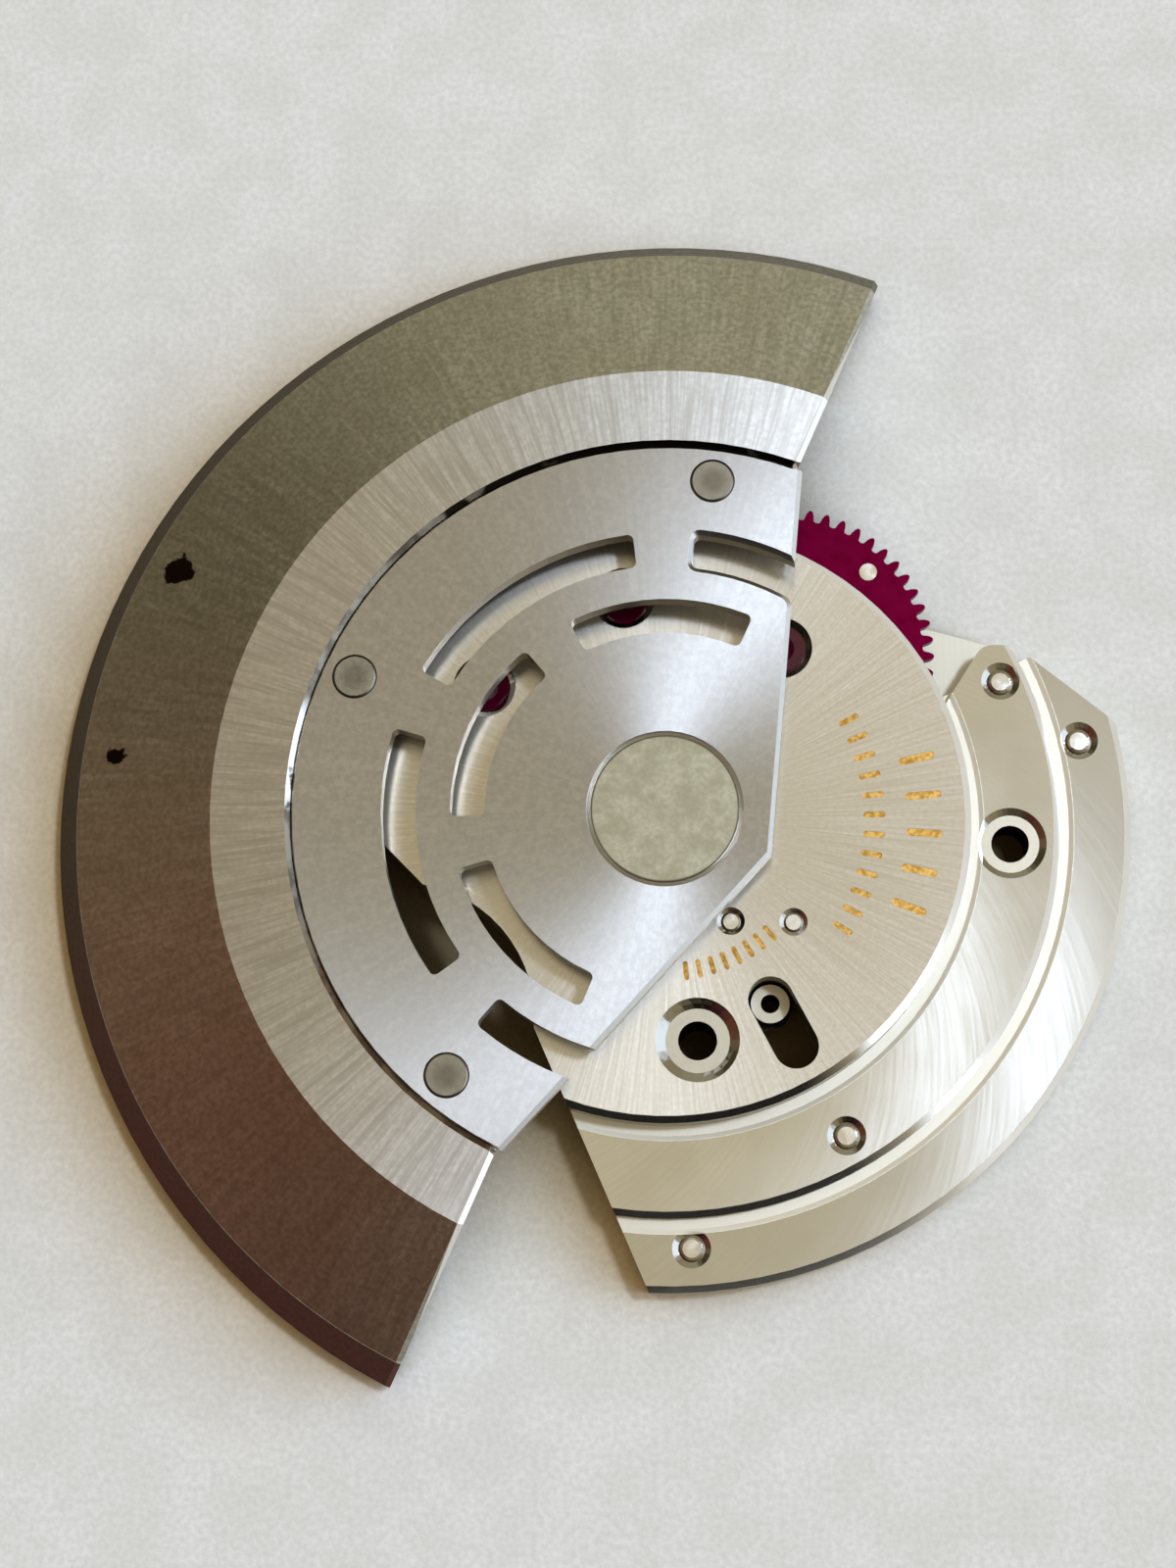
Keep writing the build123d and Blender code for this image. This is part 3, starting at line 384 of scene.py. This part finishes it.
on_disc = where(tree, (height, ">", (disc_top_mm - height_slack_mm) / 1000))
level_shader = add_node(tree, "MixShader", (on_disc, ring_shader, disc_shader))[0]

# Bevels, sinks, walls and coves; the sinks are painted darker than the plate as shade. The sinks and
# coves of the real bridge are rounder than their faces.
small_shaders = {}
for name, dark, light, roughness, normal in (
    ("bevel", "EFEADD", "F6F2E8", 0.09, None),
    ("sink", "9E988A", "ABA598", 0.06, rounded_normal(tree, 1.75)),
    ("wall", "8A8374", "989182", 0.35, None),
    ("cove", "D8D0BB", "E4DCC8", 0.45, rounded_normal(tree, 0.3)),
):
    colour = add_node(tree, "Mix", {0: stain, 6: linear(dark), 7: linear(light)}, data_type="RGBA")[2]
    small_shaders[name] = metal(tree, colour, roughness, normal=normal)
step_share = 0.10
disc_bevel_mm = 0.2
outer_bevel_mm = 0.15
cove_width_mm = 0.34
cove_start_mm = 0.001
flat_share = flatness(tree)
from_step = add_node(tree, "Math", (ring_place, 0.5), operation="PINGPONG")[0]
off_step = where(
    tree,
    (from_step, ">", step_share),
    (radius, ">", disc_radius_mm / 1000),
    (radius, "<", (ring_2_radius_mm - outer_bevel_mm) / 1000),
)
inside_disc = where(tree, (radius, "<", (disc_radius_mm - disc_bevel_mm) / 1000))
in_sink = add_node(tree, "Math", (off_step, inside_disc), operation="MAXIMUM")[0]
in_cove = where(
    tree,
    (ring_place, "<", cove_width_mm / (ring_1_radius_mm - disc_radius_mm)),
    (radius, ">", (disc_radius_mm + cove_start_mm) / 1000),
    (flat_share, ">", wall_limit),
)
leans = where(tree, (flat_share, ">", wall_limit))
is_level = where(tree, (flat_share, ">", level_limit))
shader = add_node(tree, "MixShader", (in_sink, small_shaders["bevel"], small_shaders["sink"]))[0]
shader = add_node(tree, "MixShader", (leans, small_shaders["wall"], shader))[0]
shader = add_node(tree, "MixShader", (is_level, shader, level_shader))[0]
shader = add_node(tree, "MixShader", (in_cove, shader, small_shaders["cove"]))[0]
dress(grained, shader, "upper_bridge")

# Jewels
# Synthetic rubies, ground and polished, pressed into the bridges. They are a clear dark crimson, and
# their rounded edges and oil cups show the room faintly.
ruby, tree, place = start_material("polished synthetic ruby")
tint_mm = 0.35
tint = add_node(tree, "TexNoise", {"Vector": place, "Scale": 1000 / tint_mm, "Detail": 2.0})["Fac"]
colour = add_node(tree, "Mix", {0: tint, 6: linear("380014"), 7: linear("66042A")}, data_type="RGBA")[2]
stone = {"Base Color": colour, "Roughness": 0.05, "IOR": 1.55, "Transmission Weight": 0.2}
shader = add_node(tree, "BsdfPrincipled", stone)["BSDF"]
arbors = ("rotor", "reverser_a", "reverser_b", "intermediate")
dress(ruby, shader, *[f"{arbor}_jewel_{level}" for arbor in arbors for level in ("upper", "lower")])

# Screw tubes and bushes
# Nickel silver tubes pressed through both bridges, faced flat on top with a fine turned grain, so
# they are matt and pale. Their bores are painted near-black as shade.
faced, tree, place = start_material("faced nickel silver")
fleck_mm = 0.15  # real turning marks are about 0.03 mm, too fine to show
fleck = add_node(tree, "TexNoise", {"Vector": place, "Scale": 1000 / fleck_mm, "Detail": 3.0})["Fac"]
colour = add_node(tree, "Mix", {0: fleck, 6: linear("BDB49D"), 7: linear("CDC4AE")}, data_type="RGBA")[2]
face_shader = metal(tree, colour, eased(tree, fleck, 0.3, 0.7, 0.38, 0.48), fleck, depth_mm=0.0005)
# The bore walls are painted near-black as shade.
bore_painted_shade_colour = add_node(
    tree, "Mix", {0: fleck, 6: linear("120F0C"), 7: linear("241F18")}, data_type="RGBA"
)[2]
shaded_bore_shader = metal(tree, bore_painted_shade_colour, 0.45)
leans = where(tree, (flatness(tree), ">", wall_limit))
shader = add_node(tree, "MixShader", (leans, shaded_bore_shader, face_shader))[0]
dress(faced, shader, "screw_tube_a", "screw_tube_b", "slot_bush", "driver_bush")

# Index marks
# Plain strokes engraved in the disc and filled with gold. The fill sits a little below the plate
# and is grainy, so it glints in places.
gold, tree, place = start_material("gold fill")
grain_mm = 0.09  # real gold powder is about 0.02 mm, too fine to show
grain = add_node(tree, "TexNoise", {"Vector": place, "Scale": 1000 / grain_mm, "Detail": 3.0})["Fac"]
colour = eased(tree, grain, 0.35, 0.65, linear("B28338"), linear("DAAE60"))
shader = metal(tree, colour, eased(tree, grain, 0.3, 0.7, 0.28, 0.36), grain, depth_mm=0.0002)
dress(gold, shader, "index_marks")

# Rotor axle
# A steel axle with a wide riveted head. The head is flat and sand-blasted to a dull olive grey, with
# a darker rim; the part below it is turned and polished.
blasted, tree, place = start_material("blasted steel head")
grit_mm = 0.10  # real blasting leaves dimples of 0.03 mm, too fine to show
cloud_mm = 0.35
head_rim_mm = (1.57, 1.62)
grit = add_node(tree, "TexNoise", {"Vector": place, "Scale": 1000 / grit_mm, "Detail": 3.0})["Fac"]
cloud = add_node(tree, "TexNoise", {"Vector": place, "Scale": 1000 / cloud_mm, "Detail": 3.0})["Fac"]
head_colour = eased(tree, cloud, 0.3, 0.7, linear("ADA588"), linear("C2BBA0"))
head_colour = eased(tree, grit, 0.3, 0.7, head_colour, linear("9F977B"), most=0.5)
rim_start, rim_end = [mm / 1000 for mm in head_rim_mm]
from_axis = plan_distance(tree, place)
head_colour = eased(tree, from_axis, rim_start, rim_end, head_colour, linear("57503F"))
head_shader = metal(tree, head_colour, 0.55, grit, depth_mm=0.0012)
turned_colour = add_node(
    tree, "Mix", {0: cloud, 6: linear("C4BEB2"), 7: linear("D8D3C8")}, data_type="RGBA"
)[2]
turned_shader = metal(tree, turned_colour, 0.2)
is_level = where(tree, (flatness(tree), ">", level_limit))
shader = add_node(tree, "MixShader", (is_level, turned_shader, head_shader))[0]
dress(blasted, shader, "rotor_axle")

# Rotor web
# The slotted sheet that carries the weight, in nickel silver brushed outward from the axle with a
# slight swirl, so its highlights sweep round the head. Its cut edges are bevelled.
rotor_facing_degrees = 156.2
web_middle_radius_mm = 5.0
satin, tree, place = start_material("satin nickel silver sheet")
far = add_node(tree, "SeparateXYZ", (place,))["Y"]
radius, angle, _ = around_axis(tree, place, rotor_facing_degrees)
round_run = add_node(tree, "Math", (angle, web_middle_radius_mm / 1000), operation="MULTIPLY")[0]
spokes = brush_lines(tree, radius, round_run, length_mm=3.0, width_mm=0.09)
speckle_mm = 0.12  # about 0.04 mm on the real sheet, too fine to show
speckle = add_node(tree, "TexNoise", {"Vector": place, "Scale": 1000 / speckle_mm, "Detail": 4.0})["Fac"]
sheet_colour = eased(tree, spokes, 0.3, 0.7, linear("BEBBB5"), linear("C8C5BF"))
sheet_colour = eased(tree, speckle, 0.3, 0.7, sheet_colour, linear("B2AEA6"), most=0.8)
swirl_start_degrees = 90.8
swirl_start_mm = 2.6
swirl_per_mm = math.radians(4.7)
web_sweep_per_mm = math.radians(-2.15)
swirl_at_axis = math.radians(swirl_start_degrees) - swirl_start_mm * swirl_per_mm
swirl = add_node(tree, "Math", (radius, swirl_per_mm * 1000, swirl_at_axis), operation="MULTIPLY_ADD")[0]
sheet_lean = add_node(tree, "Math", (far, web_sweep_per_mm * 1000, swirl), operation="MULTIPLY_ADD")[0]
sheet_roughness = eased(tree, speckle, 0.25, 0.75, 0.31, 0.36)
sheet_tangent = tangent_at(tree, place, sheet_lean)
sheet_shader = metal(
    tree, sheet_colour, sheet_roughness, spokes, depth_mm=0.0003, anisotropy=0.68, tangent=sheet_tangent
)
near_side = (-0.35, -0.94, 0.0)  # slot walls that look this way are in shade
normal = add_node(tree, "NewGeometry")["True Normal"]
faces_near = add_node(tree, "VectorMath", (normal, near_side), operation="DOT_PRODUCT")["Value"]
wall_colour = eased(tree, faces_near, 0.6, 0.9, linear("CFC8BA"), linear("857E70"))
bevel_colour = add_node(
    tree, "Mix", {0: speckle, 6: linear("ACA89E"), 7: linear("C0BCB2")}, data_type="RGBA"
)[2]
flat_share = flatness(tree)
leans = where(tree, (flat_share, ">", wall_limit))
is_level = where(tree, (flat_share, ">", level_limit))
edges = (leans, metal(tree, wall_colour, 0.42), metal(tree, bevel_colour, 0.30))
edge_shader = add_node(tree, "MixShader", edges)[0]
shader = add_node(tree, "MixShader", (is_level, edge_shader, sheet_shader))[0]
dress(satin, shader, "rotor_web")

# Weight rivets
# Soft steel rivets headed flat over the web, duller than the sheet round them. Each is darker in its
# middle and round its edge.
rivet_circle_mm = 7.50
rivet_step_degrees = 74.6
darker_middle_mm = (0.12, 0.42)
rivet_rim_mm = (0.43, 0.50)
dull, tree, place = start_material("flattened rivet steel")
grit_mm = 0.10  # about 0.04 mm on real rivets, too fine to show
grit = add_node(tree, "TexNoise", {"Vector": place, "Scale": 1000 / grit_mm, "Detail": 3.0})["Fac"]
from_middle = 1.0
for step in (-1, 0, 1):
    turn = math.radians(rotor_facing_degrees + step * rivet_step_degrees)
    middle = (rivet_circle_mm / 1000 * math.cos(turn), rivet_circle_mm / 1000 * math.sin(turn), 0.0)
    gap = plan_distance(tree, place, middle)
    from_middle = add_node(tree, "Math", (gap, from_middle), operation="MINIMUM")[0]
colour = add_node(tree, "Mix", {0: grit, 6: linear("8F8877"), 7: linear("A19A88")}, data_type="RGBA")[2]
darker_middle = eased(tree, from_middle, darker_middle_mm[0] / 1000, darker_middle_mm[1] / 1000, 0.75, 0.0)
colour = add_node(tree, "Mix", {0: darker_middle, 6: colour, 7: linear("766E5E")}, data_type="RGBA")[2]
rim_start, rim_end = [mm / 1000 for mm in rivet_rim_mm]
colour = eased(tree, from_middle, rim_start, rim_end, colour, linear("4E473C"))
shader = metal(tree, colour, eased(tree, grit, 0.3, 0.7, 0.34, 0.46), grit, depth_mm=0.0010)
dress(dull, shader, "weight_rivets")

# Weight segment
# The half ring of sintered tungsten alloy, turned to shape and brushed straight out from the axle.
# The inner band is paler than the bevel, the steep rim dull and dark with painted shade and reflections,
# and the cut ends are polished.
band_radius_mm = 10.03
bevel_radius_mm = 13.28
weight_middle_radius_mm = 11.0
tungsten, tree, place = start_material("radially brushed tungsten alloy")
far = add_node(tree, "SeparateXYZ", (place,))["Y"]
radius, angle, _ = around_axis(tree, place, rotor_facing_degrees)
round_run = add_node(tree, "Math", (angle, weight_middle_radius_mm / 1000), operation="MULTIPLY")[0]
fine = brush_lines(tree, radius, round_run, length_mm=1.2, width_mm=0.08)
coarse = brush_lines(tree, radius, round_run, length_mm=2.5, width_mm=0.20)
halves = [add_node(tree, "Math", (brush, 0.5), operation="MULTIPLY")[0] for brush in (fine, coarse)]
streak = add_node(tree, "Math", halves, operation="ADD")[0]
grain_mm = 0.12  # sintered grains are about 0.04 mm, too fine to show
cloud_mm = 2.2
grain = add_node(tree, "TexNoise", {"Vector": place, "Scale": 1000 / grain_mm, "Detail": 4.0})["Fac"]
cloud = add_node(tree, "TexNoise", {"Vector": place, "Scale": 1000 / cloud_mm, "Detail": 3.0})["Fac"]
bevel_colour = eased(tree, streak, 0.3, 0.7, linear("B0AD9D"), linear("D2CFC1"))
bevel_colour = eased(tree, cloud, 0.35, 0.65, bevel_colour, linear("B8B19F"), most=0.5)
bevel_colour = eased(tree, grain, 0.3, 0.7, bevel_colour, linear("938E7C"), most=0.6)
band_colour = eased(tree, streak, 0.35, 0.65, linear("C5C1B8"), linear("E6E3DB"))
band_colour = eased(tree, grain, 0.3, 0.7, band_colour, linear("C2BCB0"), most=0.5)
on_band = where(tree, (radius, "<", band_radius_mm / 1000))
brushed_colour = add_node(
    tree, "Mix", {0: on_band, 6: bevel_colour, 7: band_colour}, data_type="RGBA"
)[2]

# Two dark pits in the bevel with ragged edges, as knocks leave them
ragged_mm = 0.45
ragged_reach_mm = 0.9
pit_edge_mm = 0.04
open_face_limit = 0.3
ragged = add_node(tree, "TexNoise", {"Vector": place, "Scale": 1000 / ragged_mm, "Detail": 3.0})["Fac"]
ragged = add_node(tree, "Math", (ragged, ragged_reach_mm / 1000), operation="MULTIPLY")[0]
faces_up = where(tree, (upward(tree), ">", open_face_limit))
for right_mm, far_mm, pit_mm in ((-11.04, 5.80, 0.33), (-12.35, 1.45, 0.20)):
    gap = plan_distance(tree, place, (right_mm / 1000, far_mm / 1000, 0.0))
    gap = add_node(tree, "Math", (gap, ragged), operation="ADD")[0]
    gap = add_node(tree, "Math", (gap, ragged_reach_mm / 2 / 1000), operation="SUBTRACT")[0]
    in_pit = eased(tree, gap, (pit_mm - pit_edge_mm) / 1000, (pit_mm + pit_edge_mm) / 1000, 1.0, 0.0)
    in_pit = add_node(tree, "Math", (in_pit, faces_up), operation="MULTIPLY")[0]
    brushed_colour = add_node(
        tree, "Mix", {0: in_pit, 6: brushed_colour, 7: linear("241811")}, data_type="RGBA"
    )[2]

# The band's brush lines turn a little with the distance from the axle, more so on the near half
band_lean_degrees = 90
far_sweep_per_mm = math.radians(-1.9)
near_sweep_per_mm = math.radians(-3.2)
sweeps = [
    add_node(tree, "Math", (far, sweep_per_mm * 1000), operation="MULTIPLY")[0]
    for sweep_per_mm in (far_sweep_per_mm, near_sweep_per_mm)
]
sweep = add_node(tree, "Math", sweeps, operation="MAXIMUM")[0]
sweep = add_node(tree, "Math", (sweep, on_band), operation="MULTIPLY")[0]
band_lean = add_node(tree, "Math", (sweep, math.radians(band_lean_degrees)), operation="ADD")[0]
band_roughening = 0.06
brushed_roughness = (on_band, band_roughening, eased(tree, streak, 0.25, 0.75, 0.34, 0.39))
brushed_roughness = add_node(tree, "Math", brushed_roughness, operation="MULTIPLY_ADD")[0]
band_tangent = tangent_at(tree, place, band_lean)
shader = metal(
    tree, brushed_colour, brushed_roughness, streak, depth_mm=0.0007, anisotropy=0.70,
    tangent=band_tangent,
)

# The rim is dull and dark, painted with shade and the room's reflections: olive at the far end, brown in
# the middle and red-brown at the near end
# Painted shade and painted reflections of the room, changing round the rim
rim_shade_and_reflection_colour = eased(tree, angle, -1.3, -0.3, linear("6E6652"), linear("44361A"))
rim_shade_and_reflection_colour = eased(tree, angle, 0.3, 1.0, rim_shade_and_reflection_colour, linear("5C2A1E"))
rim_shade_and_reflection_colour = eased(tree, grain, 0.3, 0.7, rim_shade_and_reflection_colour, linear("2B210F"), most=0.5)
dull_rim_surface = {"Base Color": rim_shade_and_reflection_colour, "Roughness": 0.5, "Specular IOR Level": 0.05}
rim_shader = add_node(tree, "BsdfPrincipled", dull_rim_surface)["BSDF"]
rim_start_mm = bevel_radius_mm + 0.005
on_rim = where(tree, (radius, ">", rim_start_mm / 1000))
shader = add_node(tree, "MixShader", (on_rim, shader, rim_shader))[0]

# The joint with the web: dark at the far end, lighter in the middle, with painted glints in places,
# and brown at the near end
joint_radius_mm = 8.50
fill_mm = 0.9
patch_mm = 0.5
fill = add_node(tree, "TexNoise", {"Vector": place, "Scale": 1000 / fill_mm, "Detail": 3.0})["Fac"]
joint_patches = add_node(tree, "TexNoise", {"Vector": place, "Scale": 1000 / patch_mm, "Detail": 3.0})["Fac"]
fill = add_node(tree, "Math", (fill, eased(tree, angle, -0.9, -0.6, 0.0, 0.13)), operation="ADD")[0]
joint_colour = eased(tree, fill, 0.58, 0.68, linear("241E17"), linear("8E8677"))
joint_middle_colour = eased(tree, joint_patches, 0.4, 0.6, linear("5E574B"), linear("847C6C"))
brown_colour = eased(tree, joint_patches, 0.4, 0.6, linear("5E4C3C"), linear("86745F"))
joint_colour = eased(tree, angle, -0.5, -0.3, joint_colour, joint_middle_colour)
joint_colour = eased(tree, angle, 0.65, 0.9, joint_colour, brown_colour)
# Painted glints: near-white patches on one stretch of the joint
painted_glint = (eased(tree, angle, 0.09, 0.16), eased(tree, angle, 0.36, 0.44, 1.0, 0.0))
painted_glint = add_node(tree, "Math", painted_glint, operation="MULTIPLY")[0]
painted_glint = add_node(tree, "Math", (painted_glint, eased(tree, joint_patches, 0.40, 0.46)), operation="MULTIPLY")[0]
joint_colour = add_node(
    tree, "Mix", {0: painted_glint, 6: joint_colour, 7: linear("D8D4CA")}, data_type="RGBA"
)[2]
in_joint = where(tree, (radius, "<", joint_radius_mm / 1000), (flatness(tree), "<", level_limit))
shader = add_node(tree, "MixShader", (in_joint, shader, metal(tree, joint_colour, 0.4)))[0]

# The two polished ends, cut parallel to the line through the axle
end_reach_mm = 0.48
end_colour = add_node(
    tree, "Mix", {0: cloud, 6: linear("E4E0D6"), 7: linear("F2EFE8")}, data_type="RGBA"
)[2]
cosine = add_node(tree, "Math", (angle,), operation="COSINE")[0]
from_line = add_node(tree, "Math", (radius, cosine), operation="MULTIPLY")[0]
on_end = where(tree, (from_line, "<", end_reach_mm / 1000))
shader = add_node(tree, "MixShader", (on_end, shader, metal(tree, end_colour, 0.22)))[0]
dress(tungsten, shader, "weight_segment")
